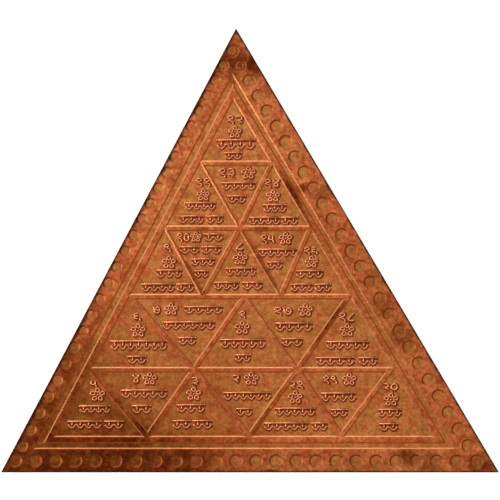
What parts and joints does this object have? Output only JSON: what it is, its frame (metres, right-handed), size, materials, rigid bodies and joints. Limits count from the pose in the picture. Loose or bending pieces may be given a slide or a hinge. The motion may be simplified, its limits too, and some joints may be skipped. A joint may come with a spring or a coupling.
{
  "type": "mangal yantra plate",
  "caption": "Flat triangular copper plate with a raised lattice of triangular cells and a border of round dimples, worked on one face only.",
  "frame": {"origin": "middle of the plate's bounding box, on its plain back face", "axes": "+Z out of the worked face, +Y from the base to the apex, +X to the right when the worked face is seen with its apex up"},
  "size_m": [0.1494, 0.1332, 0.0013],
  "materials": {
    "ground_copper": "satin, olive with age",
    "raised_copper": "satin, reddish where it is rubbed"
  },
  "bodies": {
    "root": {"copper_ground": "ground_copper", "dimpled_border": "raised_copper", "cell_lattice": "raised_copper"}
  },
  "joints": []
}
